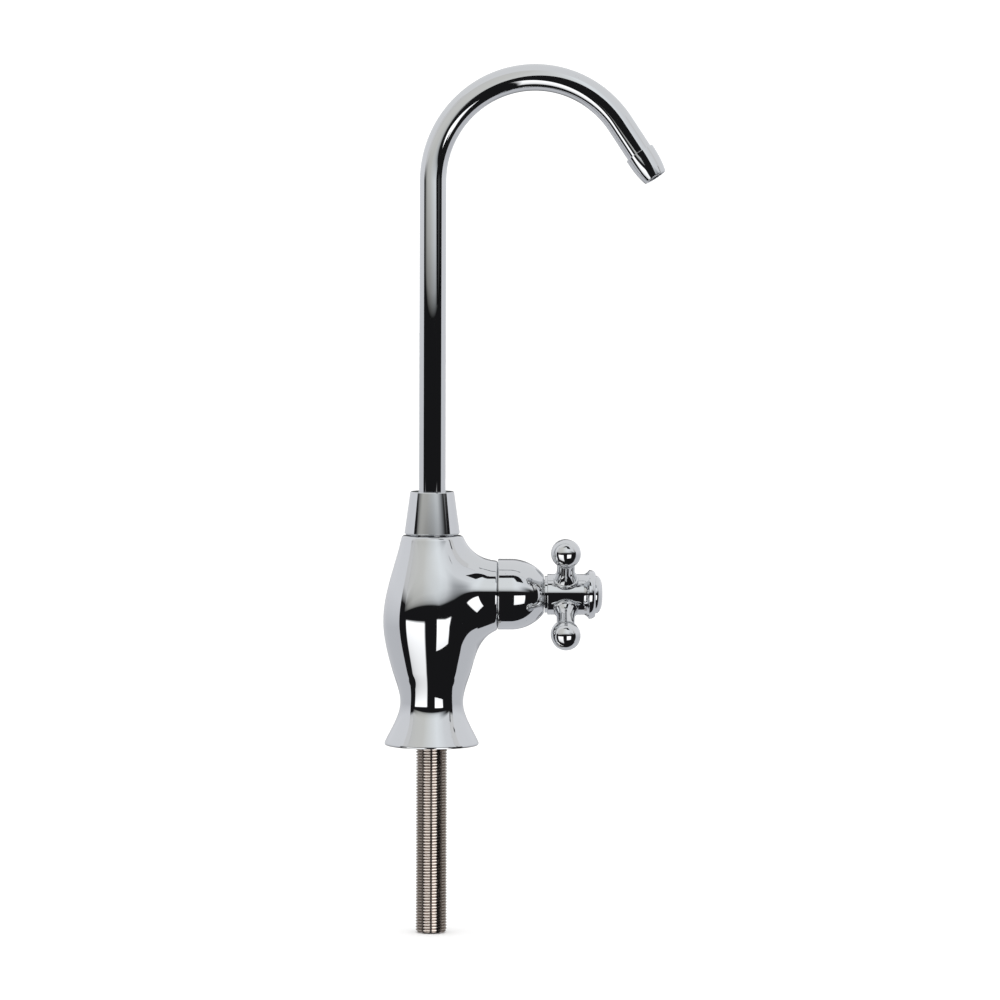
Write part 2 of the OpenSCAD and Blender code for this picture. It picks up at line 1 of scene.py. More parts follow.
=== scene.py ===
# %% [markdown]
# # A chrome filter tap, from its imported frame
#
# The tap is a chain of turned, bent and cast pieces, and nearly all that shows is polished chrome.
# Chrome has no colour of its own: it draws its surroundings along every curve, so a facet or a wrong
# slope shows at once. Each visible piece is therefore worked out again here as a fine surface with
# exact normals, on the sizes of the frame, and the hidden valve parts keep their frame meshes.

# %% Load the frame
import json

import bpy
import numpy as np
from mathutils import Matrix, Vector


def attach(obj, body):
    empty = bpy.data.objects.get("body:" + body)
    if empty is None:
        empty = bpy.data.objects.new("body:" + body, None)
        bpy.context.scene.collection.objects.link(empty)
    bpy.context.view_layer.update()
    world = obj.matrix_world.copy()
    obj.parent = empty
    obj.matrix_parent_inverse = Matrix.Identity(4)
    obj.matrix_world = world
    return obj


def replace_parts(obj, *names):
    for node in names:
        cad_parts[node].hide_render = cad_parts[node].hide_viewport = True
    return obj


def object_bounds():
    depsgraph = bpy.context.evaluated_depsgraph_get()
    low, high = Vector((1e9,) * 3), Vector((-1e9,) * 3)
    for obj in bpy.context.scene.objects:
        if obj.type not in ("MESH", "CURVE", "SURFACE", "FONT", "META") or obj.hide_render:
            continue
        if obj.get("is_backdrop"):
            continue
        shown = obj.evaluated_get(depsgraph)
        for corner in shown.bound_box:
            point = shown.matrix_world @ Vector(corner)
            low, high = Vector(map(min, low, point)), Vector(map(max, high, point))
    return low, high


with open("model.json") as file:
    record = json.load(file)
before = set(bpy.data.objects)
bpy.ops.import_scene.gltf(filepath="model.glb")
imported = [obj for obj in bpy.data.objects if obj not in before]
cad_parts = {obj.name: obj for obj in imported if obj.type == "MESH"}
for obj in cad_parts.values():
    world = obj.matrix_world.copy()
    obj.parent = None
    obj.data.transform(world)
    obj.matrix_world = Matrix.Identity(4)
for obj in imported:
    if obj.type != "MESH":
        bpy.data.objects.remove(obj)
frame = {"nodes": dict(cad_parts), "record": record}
cad_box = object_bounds()
nodes = frame["nodes"]

# %% [markdown]
# ## From a grid of points to a piece
#
# Every shape below is a grid: rows along a profile or a path, columns round it. One could give each
# grid to Blender and let it guess the shading, but guessed normals ripple in chrome. So a grid carries
# its own normals. Points that meet are welded, which closes seams and poles, and a row that is given
# twice with two normals becomes a crisp edge.

# %% Grids, welding and exact normals
MM = 0.001


def grid_quads(rows, columns, ring_rows, ring_columns):
    """Corner numbers of a grid's faces; in a ring direction the last line joins the first."""
    i = np.arange(rows if ring_rows else rows - 1)[:, None]
    j = np.arange(columns if ring_columns else columns - 1)[None, :]
    below, right = (i + 1) % rows, (j + 1) % columns
    corners = [i * columns + j, below * columns + j, below * columns + right, i * columns + right]
    return np.stack(corners, axis=-1).reshape(-1, 4)


def make_piece(name, grid, body, node):
    """Welds a grid of millimetre points into a closed mesh that stands for one frame node.

    A face turns over where its own normal points against the given ones. Corners at the same place
    become one vertex, so a face with a repeated corner is a triangle, and one with two is dropped.
    """
    points, normals, ring_rows, ring_columns = grid
    quads = grid_quads(*points.shape[:2], ring_rows, ring_columns)
    points, normals = points.reshape(-1, 3), normals.reshape(-1, 3)
    a, b, c, d = (points[quads[:, k]] for k in range(4))
    against = np.einsum("ij,ij->i", np.cross(c - a, d - b), normals[quads].sum(axis=1)) < 0
    quads[against] = quads[against][:, ::-1]
    _, first, place = np.unique(points.round(5), axis=0, return_index=True, return_inverse=True)
    welded = place.reshape(-1)[quads]
    repeated = welded == np.roll(welded, -1, axis=1)
    whole = repeated.sum(axis=1) == 0
    corner = repeated.sum(axis=1) == 1
    kept = ~repeated[corner]
    triangles = welded[corner][kept].reshape(-1, 3)
    mesh = bpy.data.meshes.new(name)
    mesh.from_pydata((points[first] * MM).tolist(), [], welded[whole].tolist() + triangles.tolist())
    mesh.shade_smooth()
    shading = [normals[quads[whole]].reshape(-1, 3), normals[quads[corner][kept]].reshape(-1, 3)]
    mesh.normals_split_custom_set(np.concatenate(shading).tolist())
    piece = bpy.data.objects.new(name, mesh)
    bpy.context.scene.collection.objects.link(piece)
    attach(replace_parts(piece, node), body)
    print(f"{name}: {len(mesh.polygons)} faces")
    return piece


# %% [markdown]
# ## Turned outlines
#
# A lathe leaves small rounds on every edge, and in chrome each one is a bright or dark line. An outline
# is a list of corners, in millimetres of radius and height. A corner with an ease radius becomes an arc
# that touches both of its edges; one without is a sample of a smooth curve.

# %% Outlines and solids of revolution
X, Y, Z = np.eye(3)


def eased(corners, ease, closed=True, samples=9):
    """Points and outward normals along an outline that keeps its solid on the left.

    With e the direction of the edge before a corner and t the angle that the outline turns there, the
    arc starts r tan(t/2) before the corner. After turning by a, it has gone r sin(a) along e and
    r (1 - cos(a)) towards the turn. The normal is the direction of travel, a quarter turn to the right.
    """
    p = np.array(corners, float)
    r = np.broadcast_to(np.asarray(ease, float), len(p))[:, None]
    edge = np.roll(p, -1, axis=0) - p
    after = edge if closed else np.vstack([edge[:-1], edge[-2:-1]])
    before = np.roll(edge, 1, axis=0) if closed else np.vstack([edge[:1], edge[:-1]])
    e = before / np.linalg.norm(before, axis=1, keepdims=True)
    f = after / np.linalg.norm(after, axis=1, keepdims=True)
    turn = np.arctan2(e[:, 0] * f[:, 1] - e[:, 1] * f[:, 0], (e * f).sum(axis=1))[:, None]
    a = turn * np.linspace(0, 1, samples)
    left = np.stack([-e[:, 1], e[:, 0]], axis=-1)
    start = p - r * np.tan(np.abs(turn) / 2) * e
    along = (r * np.sin(np.abs(a)))[..., None] * e[:, None]
    aside = (r * np.sign(turn) * (1 - np.cos(a)))[..., None] * left[:, None]
    travel = np.cos(a)[..., None] * e[:, None] + np.sin(a)[..., None] * left[:, None]
    normal = np.stack([travel[..., 1], -travel[..., 0]], axis=-1)
    used = np.broadcast_to(r > 0, a.shape) | (np.arange(samples) == samples // 2)
    return (start[:, None] + along + aside)[used], normal[used], closed


def turned(outline, origin, axis, steps=160):
    """Surface of revolution: height along the axis, radius along a spoke that goes once round it."""
    p, n, closed = outline
    u = Y if abs(axis[1]) < 0.9 else Z
    u = u - axis * (u @ axis)
    u = u / np.linalg.norm(u)
    t = np.linspace(0, 2 * np.pi, steps, endpoint=False)[:, None]
    spoke = np.cos(t) * u + np.sin(t) * np.cross(axis, u)
    points = origin + p[:, 1, None, None] * axis + p[:, 0, None, None] * spoke
    normals = n[:, 1, None, None] * axis + n[:, 0, None, None] * spoke
    return points, normals, closed, True


def arc(centre, radius, start, stop, count):
    """Points on a circle, from one angle to another, in degrees."""
    t = np.radians(np.linspace(start, stop, count))
    return (np.array(centre) + radius * np.stack([np.cos(t), np.sin(t)], axis=-1)).tolist()


# %% [markdown]
# ## The cast body
#
# The body is one casting: a vase with a round branch, joined by a soft rolling fillet, then ground and
# polished. It could be sculpted or joined with a Boolean and a bevel, but both leave uneven shading at
# the fillet. Here it is one formula that is negative inside the metal and positive outside, the same
# as in the part's source. Each level is found along rays from the axis, and the formula's gradient is
# the normal.

# %% The casting's formula
BODY_H, FOOT_R, CROWN_R = 75.8, 17.3, 10.8
BRANCH_Z, BRANCH_R, BRANCH_REACH, BRANCH_START = 54.6, 12.0, 23.8, 8.0
FILLET, SIDE_FILLET = 12.0, 5.5
STATION_Z = np.array([0, 15.5, 27, 45, BODY_H])
STATION_R = np.array([FOOT_R, 11.3, 14.2, 17.5, CROWN_R])
STATION_SLOPE = np.array([-0.42, 0, 0.29, 0, -0.2])
EDGE_EASE = 1.1


def vase_radius(z):
    """Cubic between stations of height, radius and slope, so that radius and slope run on smoothly."""
    i = np.clip(np.searchsorted(STATION_Z, z) - 1, 0, len(STATION_Z) - 2)
    h = STATION_Z[i + 1] - STATION_Z[i]
    t = (z - STATION_Z[i]) / h
    rise = (STATION_R[i + 1] - STATION_R[i]) * t * t * (3 - 2 * t)
    lean = STATION_SLOPE[i] * t * (1 - t) ** 2 - STATION_SLOPE[i + 1] * t * t * (1 - t)
    return STATION_R[i] + rise + h * lean


def soft_min(a, b, k):
    """The smaller of two distances, less a parabola where they are within k of each other."""
    return np.minimum(a, b) - np.maximum(k - np.abs(a - b), 0) ** 2 / (4 * k)


def skin(x, y, z):
    """Signed distance to the cast skin: the vase and the branch, blended by the fillet.

    The fillet is widest above and below the branch and tightest at its sides. Between them it follows
    the square of the rise, as a share of the squared distance from the branch's axis.
    """
    rise = (z - BRANCH_Z) ** 2
    fillet = SIDE_FILLET + (FILLET - SIDE_FILLET) * rise / (rise + y * y + 1e-4)
    vase = np.hypot(x, y) - vase_radius(z)
    branch = np.sqrt(np.minimum(x - BRANCH_START, 0) ** 2 + y * y + rise) - BRANCH_R
    return soft_min(vase, branch, fillet)


def casting(x, y, z):
    """The skin, cut off by the sole, the shoulder and the branch's end, with each edge eased."""
    cut = -soft_min(-skin(x, y, z), BRANCH_REACH - x, EDGE_EASE)
    return -soft_min(-cut, np.minimum(z, BODY_H - z), EDGE_EASE)


def crossing(field, far, halvings=42):
    """Distance along rays at which a field turns from negative to positive, by halving."""
    low, high = np.zeros_like(far), far
    for _ in range(halvings):
        middle = (low + high) / 2
        inside = field(middle) < 0
        low, high = np.where(inside, middle, low), np.where(inside, high, middle)
    return (low + high) / 2


def gradient(field, x, y, z, step=1e-4):
    """Unit normal of a field, from its differences along the three axes."""
    g = np.stack([
        field(x + step, y, z) - field(x - step, y, z),
        field(x, y + step, z) - field(x, y - step, z),
        field(x, y, z + step) - field(x, y, z - step),
    ], axis=-1)
    return g / np.linalg.norm(g, axis=-1, keepdims=True)


print("belly:", 2 * vase_radius(45.0), "mm across")

# %% [markdown]
# The levels lie close together where the surface is nearly level, under and over the branch and at the
# eased edges. The rays crowd round the rim of the branch's end, whose angle changes with the level.

# %% Levels and rays of the casting
sink = np.linspace(0, 1, 9)[:-1]
wave = (1 - np.cos(np.pi * np.linspace(0, 1, 112))) / 2
branch_low, branch_high = 38.6, 70.4
levels = np.concatenate([
    EDGE_EASE * sink ** 2,
    np.linspace(EDGE_EASE, branch_low, 78)[:-1],
    branch_low + (branch_high - branch_low) * wave,
    np.linspace(branch_high, BODY_H - EDGE_EASE, 14)[1:-1],
    BODY_H - EDGE_EASE * sink[::-1] ** 2,
])
level = levels[:, None]
rim_y = crossing(lambda y: skin(np.full_like(y, BRANCH_REACH), y, levels), np.full_like(levels, 20.0))
rim = np.degrees(np.arctan2(rim_y, BRANCH_REACH))[:, None].clip(4)
RIM_MARGIN, RIM_START, RIM_STOP = 2.5, 0.08, 0.24
u = np.linspace(0, 1, 129)
before = (rim - RIM_MARGIN) * u / RIM_START
within = rim - RIM_MARGIN + 2 * RIM_MARGIN * (u - RIM_START) / (RIM_STOP - RIM_START)
share = np.clip((u - RIM_STOP) / (1 - RIM_STOP), 0, 1) ** 1.1
beyond = rim + RIM_MARGIN + (180 - RIM_MARGIN - rim) * share
half = np.where(u < RIM_START, before, np.where(u < RIM_STOP, within, beyond))
ray = np.radians(np.concatenate([half, -half[:, -2:0:-1]], axis=1))
reach = crossing(lambda t: casting(t * np.cos(ray), t * np.sin(ray), level), np.full_like(ray, 60.0))
cast = np.stack([reach * np.cos(ray), reach * np.sin(ray), np.broadcast_to(level, ray.shape)], axis=-1)
cast_normal = gradient(casting, *np.moveaxis(cast, -1, 0))
print("casting:", len(levels), "levels of", ray.shape[1], "rays")

# %% [markdown]
# The sole has a hole for the shank and a groove for its seal. On the shoulder stands the short threaded
# neck that the collar screws on to. Both are plain rings on the casting's own rays, so the grid runs on.

# %% Sole, neck and the cast piece
def ring_rows(outline, rays):
    """Rows of a turned outline, with its points on the given rays."""
    p, n, _ = outline
    spoke = np.stack([np.cos(rays), np.sin(rays), np.zeros_like(rays)], axis=-1)
    return (p[:, 0, None, None] * spoke + p[:, 1, None, None] * Z,
            n[:, 0, None, None] * spoke + n[:, 1, None, None] * Z)


HOLE_R, HOLE_DEPTH, GROOVE_IN, GROOVE_OUT, GROOVE_DEPTH = 5.055, 14.2, 11.8, 14.2, 2.2
NECK_OUT, NECK_IN, NECK_TOP, SOCKET_FLOOR = 7.8, 6.05, BODY_H + 6.4, 63.6
sole = eased([(0, HOLE_DEPTH), (HOLE_R, HOLE_DEPTH), (HOLE_R, 0), (GROOVE_IN, 0), (GROOVE_IN, GROOVE_DEPTH),
              (GROOVE_OUT, GROOVE_DEPTH), (GROOVE_OUT, 0), (reach[0, 0], 0)],
             [0, 0.3, 0.3, 0.15, 0.15, 0.15, 0.15, 0], closed=False)
neck = eased([(reach[-1, 0], BODY_H), (NECK_OUT, BODY_H), (NECK_OUT, NECK_TOP), (NECK_IN, NECK_TOP),
              (NECK_IN, SOCKET_FLOOR), (0, SOCKET_FLOOR)], [0, 0.2, 0.3, 0.2, 0.2, 0], closed=False)
rows = [ring_rows(sole, ray[0]), (cast, cast_normal), ring_rows(neck, ray[-1])]
body_points, body_normals = (np.concatenate(part) for part in zip(*rows))
body_grid = (body_points, body_normals, False, True)
cast_body = make_piece("cast_body", body_grid, "tap_body", "body_casting")

# %% [markdown]
# ## The threaded shank
#
# The shank is steel tube with a fine rolled thread along its whole length. A bump texture would leave
# its outline straight, and the ridges show at the edge even from a step away. The radius is therefore
# a wave that climbs one pitch in each turn.

# %% The shank, with its thread
SHANK_R, SHANK_LEN, SHANK_SEAT, SHANK_BORE = 5.555, 68.0, 13.0, 3.25
PITCH, THREAD_DEPTH, CREST, SHARPNESS, CHAMFER = 1.058, 0.65, 1.41, 0.97, 0.7
THREAD_ROWS, THREAD_COLUMNS = 792, 88


def thread_radius(angle, z):
    """Outside radius of the thread: an arcsine of a cosine gives straight flanks, cut off at the crests.

    The wave's phase is height over pitch, less the share of a turn. The chamfer at the end is a cone.
    """
    phase = 2 * np.pi * (z / PITCH) - angle
    wave = 0.5 + np.arcsin(SHARPNESS * np.cos(phase)) / (2 * np.arcsin(SHARPNESS))
    cone = SHANK_R - CHAMFER + (z + SHANK_LEN)
    return np.minimum(SHANK_R - THREAD_DEPTH * np.maximum(1 - CREST * wave, 0), cone)


angle = np.linspace(0, 2 * np.pi, THREAD_COLUMNS, endpoint=False)
height = np.linspace(-SHANK_LEN, 0, THREAD_ROWS)[:, None]
spoke = np.stack([np.cos(angle), np.sin(angle), 0 * angle], axis=-1)
around = np.cross(Z, spoke)
r = thread_radius(angle, height)
d = 1e-4
climb = ((thread_radius(angle, height + d) - thread_radius(angle, height - d)) / (2 * d))[..., None]
swing = ((thread_radius(angle + d, height) - thread_radius(angle - d, height)) / (2 * d) / r)[..., None]
thread_normal = spoke - climb * Z - swing * around
thread_normal /= np.linalg.norm(thread_normal, axis=-1, keepdims=True)
thread = r[..., None] * spoke + height[..., None] * Z
bore = eased([(SHANK_R - THREAD_DEPTH, 0), (SHANK_R - THREAD_DEPTH, SHANK_SEAT), (SHANK_BORE, SHANK_SEAT),
              (SHANK_BORE, -SHANK_LEN), (SHANK_R - CHAMFER - 0.1, -SHANK_LEN)],
             [0, 0.2, 0.2, 0.25, 0], closed=False)
p, n = ring_rows(bore, angle)
shank_grid = (np.concatenate([thread, p]), np.concatenate([thread_normal, n]), True, True)
shank = make_piece("shank_thread", shank_grid, "tap_body", "threaded_shank")

# %% [markdown]
# ## Bonnet, collar and nozzle
#
# These three are plain lathe work in tube or bar: a domed shroud over the valve, the conical nut that
# holds the spout, and the barrel-shaped sleeve at its end. The bonnet's back edge is eased like the
# branch's, so that the two make the fine dark seam between them.

# %% Bonnet
VALVE = np.array([0.0, 0.0, BRANCH_Z])
BONNET_LEN, BONNET_SKIRT, BONNET_R, BONNET_RIM, BONNET_WALL, LAND_R = 16.5, 4.7, 12.7, 6.8, 1.4, 5.65
dome_len, drop = BONNET_LEN - BONNET_SKIRT, BONNET_R - BONNET_RIM
dome_r = (dome_len ** 2 + drop ** 2) / (2 * drop)
dome_turn = np.degrees(np.arcsin(dome_len / dome_r))
dome_centre = (BONNET_R - dome_r, BONNET_SKIRT)
outside = arc(dome_centre, dome_r, 0, dome_turn, 48)
inside = arc(dome_centre, dome_r - BONNET_WALL, dome_turn - 6, 0, 24)
bonnet_outline = eased(
    [(BONNET_R - BONNET_WALL, 0), (BONNET_R, 0)] + outside + [(LAND_R, BONNET_LEN)] + inside,
    [0.2, 0.35] + [0] * (len(outside) - 1) + [0.25, 0.3] + [0] * len(inside))
bonnet_grid = turned(bonnet_outline, VALVE + BRANCH_REACH * X, X)
bonnet = make_piece("bonnet_dome", bonnet_grid, "tap_body", "bonnet")

# %% Collar
COLLAR_Z, COLLAR_H, COLLAR_FOOT, COLLAR_TOP, COLLAR_CHAMFER = BODY_H + 0.4, 15.4, 9.9, 7.85, 0.5
COLLAR_THREAD, COLLAR_BORE, COLLAR_SHELF, RIM_CHAMFER = 7.85, 5.06, BODY_H + 10.1, 0.25
collar_top = COLLAR_Z + COLLAR_H
collar_outline = eased(
    [(COLLAR_THREAD, COLLAR_Z), (COLLAR_FOOT - COLLAR_CHAMFER, COLLAR_Z),
     (COLLAR_FOOT, COLLAR_Z + COLLAR_CHAMFER), (COLLAR_TOP, collar_top - RIM_CHAMFER),
     (COLLAR_TOP - RIM_CHAMFER, collar_top), (COLLAR_BORE, collar_top), (COLLAR_BORE, COLLAR_SHELF),
     (COLLAR_THREAD, COLLAR_SHELF)],
    [0.1, 0.12, 0.12, 0.1, 0.1, 0.2, 0.1, 0.1])
collar = make_piece("collar_cone", turned(collar_outline, 0 * Z, Z), "tap_body", "spout_collar")

# %% [markdown]
# ## The gooseneck
#
# The spout is one tube, bent on a former: straight, a round bend, then a short straight tail. A bevelled
# curve would do, but it has no bore and its ends are open. Here a circle is carried along the path, out
# on the tube's outside and back along its bore.

# %% Spout tube
TUBE_R, TUBE_WALL, TUBE_FOOT = 4.7625, 1.0, 73.8
BEND_Z, BEND_R, BEND_SWEEP, TAIL = 203.0, 37.3, np.radians(146), 18.0
TURN = np.radians(-12)
OUT = np.array([np.cos(TURN), np.sin(TURN), 0])
ASIDE = np.cross(Z, OUT)


def spout_line(s):
    """Point and outward direction of the tube's centre line, for lengths s from the start of the bend.

    Before the bend the line climbs; in it the angle is s over the bend's radius; after it the line goes
    on straight. Outward is away from the bend's centre, in the spout's own plane.
    """
    a = np.clip(s / BEND_R, 0, BEND_SWEEP)[:, None]
    before = np.minimum(s, 0)[:, None]
    beyond = np.maximum(s - BEND_R * BEND_SWEEP, 0)[:, None]
    outward = -np.cos(a) * OUT + np.sin(a) * Z
    along = np.sin(a) * OUT + np.cos(a) * Z
    return BEND_R * OUT + BEND_Z * Z + BEND_R * outward + before * Z + beyond * along, outward, along


bend_end = BEND_R * BEND_SWEEP
run = np.concatenate([np.linspace(TUBE_FOOT - BEND_Z, 0, 60), np.linspace(0, bend_end, 170)[1:],
                      np.linspace(bend_end, bend_end + TAIL, 8)[1:]])
line, outward, along = spout_line(run)
turn_round = np.linspace(0, 2 * np.pi, 72, endpoint=False)[None, :, None]
spoke = np.cos(turn_round) * outward[:, None] + np.sin(turn_round) * ASIDE
lip = along[[0, -1]][:, None] * np.array([-1, 1])[:, None, None] + 0 * spoke[[0, -1]]
shell, hole = line[:, None] + TUBE_R * spoke, line[:, None] + (TUBE_R - TUBE_WALL) * spoke
tube_rows = [(shell, spoke), (shell[-1:], lip[1:]), (hole[-1:], lip[1:]), (hole[::-1], -spoke[::-1]),
             (hole[:1], lip[:1]), (shell[:1], lip[:1])]
tube_points, tube_normals = (np.concatenate(part) for part in zip(*tube_rows))
spout = make_piece("gooseneck", (tube_points, tube_normals, False, True), "spout", "spout_tube")

# %% Nozzle
NOZZLE_LEN, SLEEVE, NOZZLE_R, NOZZLE_END, OUTLET_R = 10.5, 5.5, TUBE_R + 0.7, 4.25, 3.4
NOZZLE_BORE, FULLNESS = TUBE_R + 0.05, 2.6
tip, _, flow = (v[0] for v in spout_line(np.array([bend_end + TAIL - SLEEVE])))
u = np.linspace(0, 1, 22)
barrel = np.stack([NOZZLE_R - (NOZZLE_R - NOZZLE_END) * u ** FULLNESS, NOZZLE_LEN * u], axis=-1).tolist()
nozzle_outline = eased(
    [(NOZZLE_BORE, 0)] + barrel + [(OUTLET_R, NOZZLE_LEN), (OUTLET_R, SLEEVE), (NOZZLE_BORE, SLEEVE)],
    [0.1, 0.2] + [0] * (len(barrel) - 2) + [0.55, 0.3, 0.1, 0.1])
nozzle = make_piece("nozzle_sleeve", turned(nozzle_outline, tip, flow, 128), "spout", "nozzle_tip")

# %% [markdown]
# ## The cross handle
#
# The hub is turned, with a flared bead at its front and a domed cap, and four ball-ended arms are seated
# on it. An arm has a small bead at its foot. Under the bead it follows the hub's round side, so its grid
# starts on a saddle: at each angle round the arm, the height is what the hub's circle leaves there.

# %% Hub
HUB_X, HUB_LEN, HUB_R, BEAD_H, BEAD_W = 40.6, 18.3, 7.3, 1.5, 4.5
STEP_R, STEP, MOUTH_R, MOUTH_FLOOR = 6.6, 1.0, 5.5, 12.9
SPLINE_R, SPLINE_TOP, SCREW_R, BACK_RECESS = 3.65, 10.9, 2.1, 1.05
u = np.linspace(-1, 1, 41)
flare = np.where(u < 0, (1 + u) ** 2, np.sqrt(np.maximum(1 - u * u, 0)))
bead = np.stack([HUB_R + BEAD_H * flare, HUB_LEN - BEAD_W / 2 * (1 - u)], axis=-1)[1:].tolist()
hub_outline = eased(
    [(MOUTH_R, 0), (STEP_R, 0), (STEP_R, STEP), (HUB_R, STEP)] + bead
    + [(MOUTH_R, HUB_LEN), (MOUTH_R, MOUTH_FLOOR), (SCREW_R, MOUTH_FLOOR), (SCREW_R, SPLINE_TOP),
       (SPLINE_R, SPLINE_TOP), (SPLINE_R, BACK_RECESS), (MOUTH_R, BACK_RECESS)],
    [0.1, 0.15, 0.1, 0.2] + [0] * (len(bead) - 1) + [0.15, 0.2] + [0.1] * 6)
hub = make_piece("hub", turned(hub_outline, VALVE + HUB_X * X, X), "handle", "handle_hub")

# %% Cap
CAP_R, CAP_T, PLUG_R, PLUG_LEN = 6.8, 2.5, 5.45, 2.4
a = np.linspace(0, np.pi / 2, 40)
dome = np.stack([CAP_R * np.cos(a).clip(0) ** (2 / 3), CAP_T * np.sin(a)], axis=-1)
dome[-1, 0] = 0
cap_outline = eased([(0, -PLUG_LEN), (PLUG_R, -PLUG_LEN), (PLUG_R, 0)] + dome.tolist(),
                    [0, 0.3, 0.1, 0.05] + [0] * (len(dome) - 1), closed=False)
cap_grid = turned(cap_outline, VALVE + (HUB_X + HUB_LEN) * X, X)
cap = make_piece("hub_cap", cap_grid, "handle", "handle_cap")

# %% Arms
ARM_X, ARM_RISE, BALL_REACH, BALL_R, NECK_R = 48.2, 49.0, 20.7, 5.2, 3.1
BEAD_ROUND, BEAD_LIFT, ROOT_R, ROOT_LEN = 0.55, 0.65, 4.5, 4.0
PEDESTAL, SINK, SINK_CENTRE = 0.054, 0.03, 0.7
foot_r, foot_z = ROOT_R - BEAD_ROUND, HUB_R + BEAD_LIFT
foot_bead = arc((foot_r, foot_z), BEAD_ROUND, -120, 90, 22)
pedestal_r = foot_bead[0][0]
u = np.linspace(0, 1, 16)[1:]
neck_r = NECK_R + (foot_r - NECK_R) * (1 - u) ** 2
neck_flare = np.stack([neck_r, foot_z + BEAD_ROUND + ROOT_LEN * u], axis=-1).tolist()
ball_meet = np.degrees(np.arcsin(NECK_R / BALL_R))
ball = arc((0, BALL_REACH), BALL_R, ball_meet - 90, 90, 48)
arm_outline = eased(
    [(pedestal_r, foot_bead[0][1] - PEDESTAL)] + foot_bead + neck_flare + ball,
    [0, 0.03] + [0] * (len(foot_bead) - 2) + [0.1] + [0] * len(neck_flare) + [0.7] + [0] * (len(ball) - 1),
    closed=False)


def arm_grid(number):
    """An arm on the hub: its first ring lies on the hub's round side, and the rest is turned.

    Round that saddle the height is the root of the hub's radius squared less the offset squared.
    """
    tilt = np.radians(90 * number - ARM_RISE)
    axis = np.array([0, -np.sin(tilt), np.cos(tilt)])
    t = np.linspace(0, 2 * np.pi, 112, endpoint=False)[None, :]
    spoke = np.cos(t)[..., None] * X + np.sin(t)[..., None] * np.cross(axis, X)
    saddle = np.sqrt((HUB_R - SINK) ** 2 - (pedestal_r * np.sin(t)) ** 2)
    p, n, _ = arm_outline
    radius = np.concatenate([0 * t, pedestal_r + 0 * t, p[:, :1] + 0 * t])[..., None]
    rise = np.concatenate([HUB_R - SINK_CENTRE + 0 * t, saddle, p[:, 1:] + 0 * t])[..., None]
    aside = np.concatenate([0 * t, 1 + 0 * t, n[:, :1] + 0 * t])[..., None]
    upward = np.concatenate([-1 + 0 * t, 0 * t, n[:, 1:] + 0 * t])[..., None]
    foot = np.array([ARM_X, 0, BRANCH_Z])
    return foot + radius * spoke + rise * axis, aside * spoke + upward * axis, False, True


arms = [make_piece(f"ball_arm_{k}", arm_grid(k), "handle", f"handle_arm_{k}")
        for k in (1, 2, 3, 4)]

# %% [markdown]
# ## Finishes
#
# A finish is a small node tree on object coordinates, which are metres here. Chrome is a clear mirror
# with faint flaws: a soft haze from wiping, a slight waviness from polishing, and a few pinholes in the
# plate. What is the same all over is set on the shader itself.

# %% Node helpers
def finish(name, **sockets):
    """A new material, its node tree and shader; keywords set the shader's own sockets."""
    material = bpy.data.materials.new(name)
    material.use_nodes = True
    shader = material.node_tree.nodes["Principled BSDF"]
    for socket, value in sockets.items():
        shader.inputs[socket.replace("_", " ")].default_value = value
    return material, material.node_tree, shader


def grown(tree, scale, stretch=(1, 1, 1), detail=3.0, kind="ShaderNodeTexNoise"):
    """A noise or cell pattern on stretched object coordinates; the scale is in cells per metre."""
    coords = tree.nodes.new("ShaderNodeTexCoord")
    mapping = tree.nodes.new("ShaderNodeMapping")
    mapping.inputs["Scale"].default_value = stretch
    pattern = tree.nodes.new(kind)
    pattern.inputs["Scale"].default_value = scale
    if kind == "ShaderNodeTexNoise":
        pattern.inputs["Detail"].default_value = detail
    tree.links.new(coords.outputs["Object"], mapping.inputs["Vector"])
    tree.links.new(mapping.outputs["Vector"], pattern.inputs["Vector"])
    return pattern.outputs[0]


def spread(tree, value, low, high, to_low, to_high):
    """Maps a pattern's range to another one, clamped at both ends."""
    node = tree.nodes.new("ShaderNodeMapRange")
    for socket, number in zip(node.inputs[1:5], (low, high, to_low, to_high)):
        socket.default_value = number
    tree.links.new(value, node.inputs[0])
    return node.outputs[0]


def combined(tree, a, b, operation="ADD"):
    """Two values put together by one operation."""
    node = tree.nodes.new("ShaderNodeMath")
    node.operation = operation
    tree.links.new(a, node.inputs[0])
    tree.links.new(b, node.inputs[1])
    return node.outputs[0]


def tinted(tree, shader, value, dark, light):
    """Base colour that goes from one colour to another with a value."""
    ramp = tree.nodes.new("ShaderNodeValToRGB")
    ramp.color_ramp.elements[0].color = (*dark, 1)
    ramp.color_ramp.elements[1].color = (*light, 1)
    tree.links.new(value, ramp.inputs["Fac"])
    tree.links.new(ramp.outputs["Color"], shader.inputs["Base Color"])


def raised(tree, shader, value, depth):
    """Relief on the surface, with its depth in metres."""
    bump = tree.nodes.new("ShaderNodeBump")
    bump.inputs["Strength"].default_value = 1.0
    bump.inputs["Distance"].default_value = depth
    tree.links.new(value, bump.inputs["Height"])
    tree.links.new(bump.outputs["Normal"], shader.inputs["Normal"])


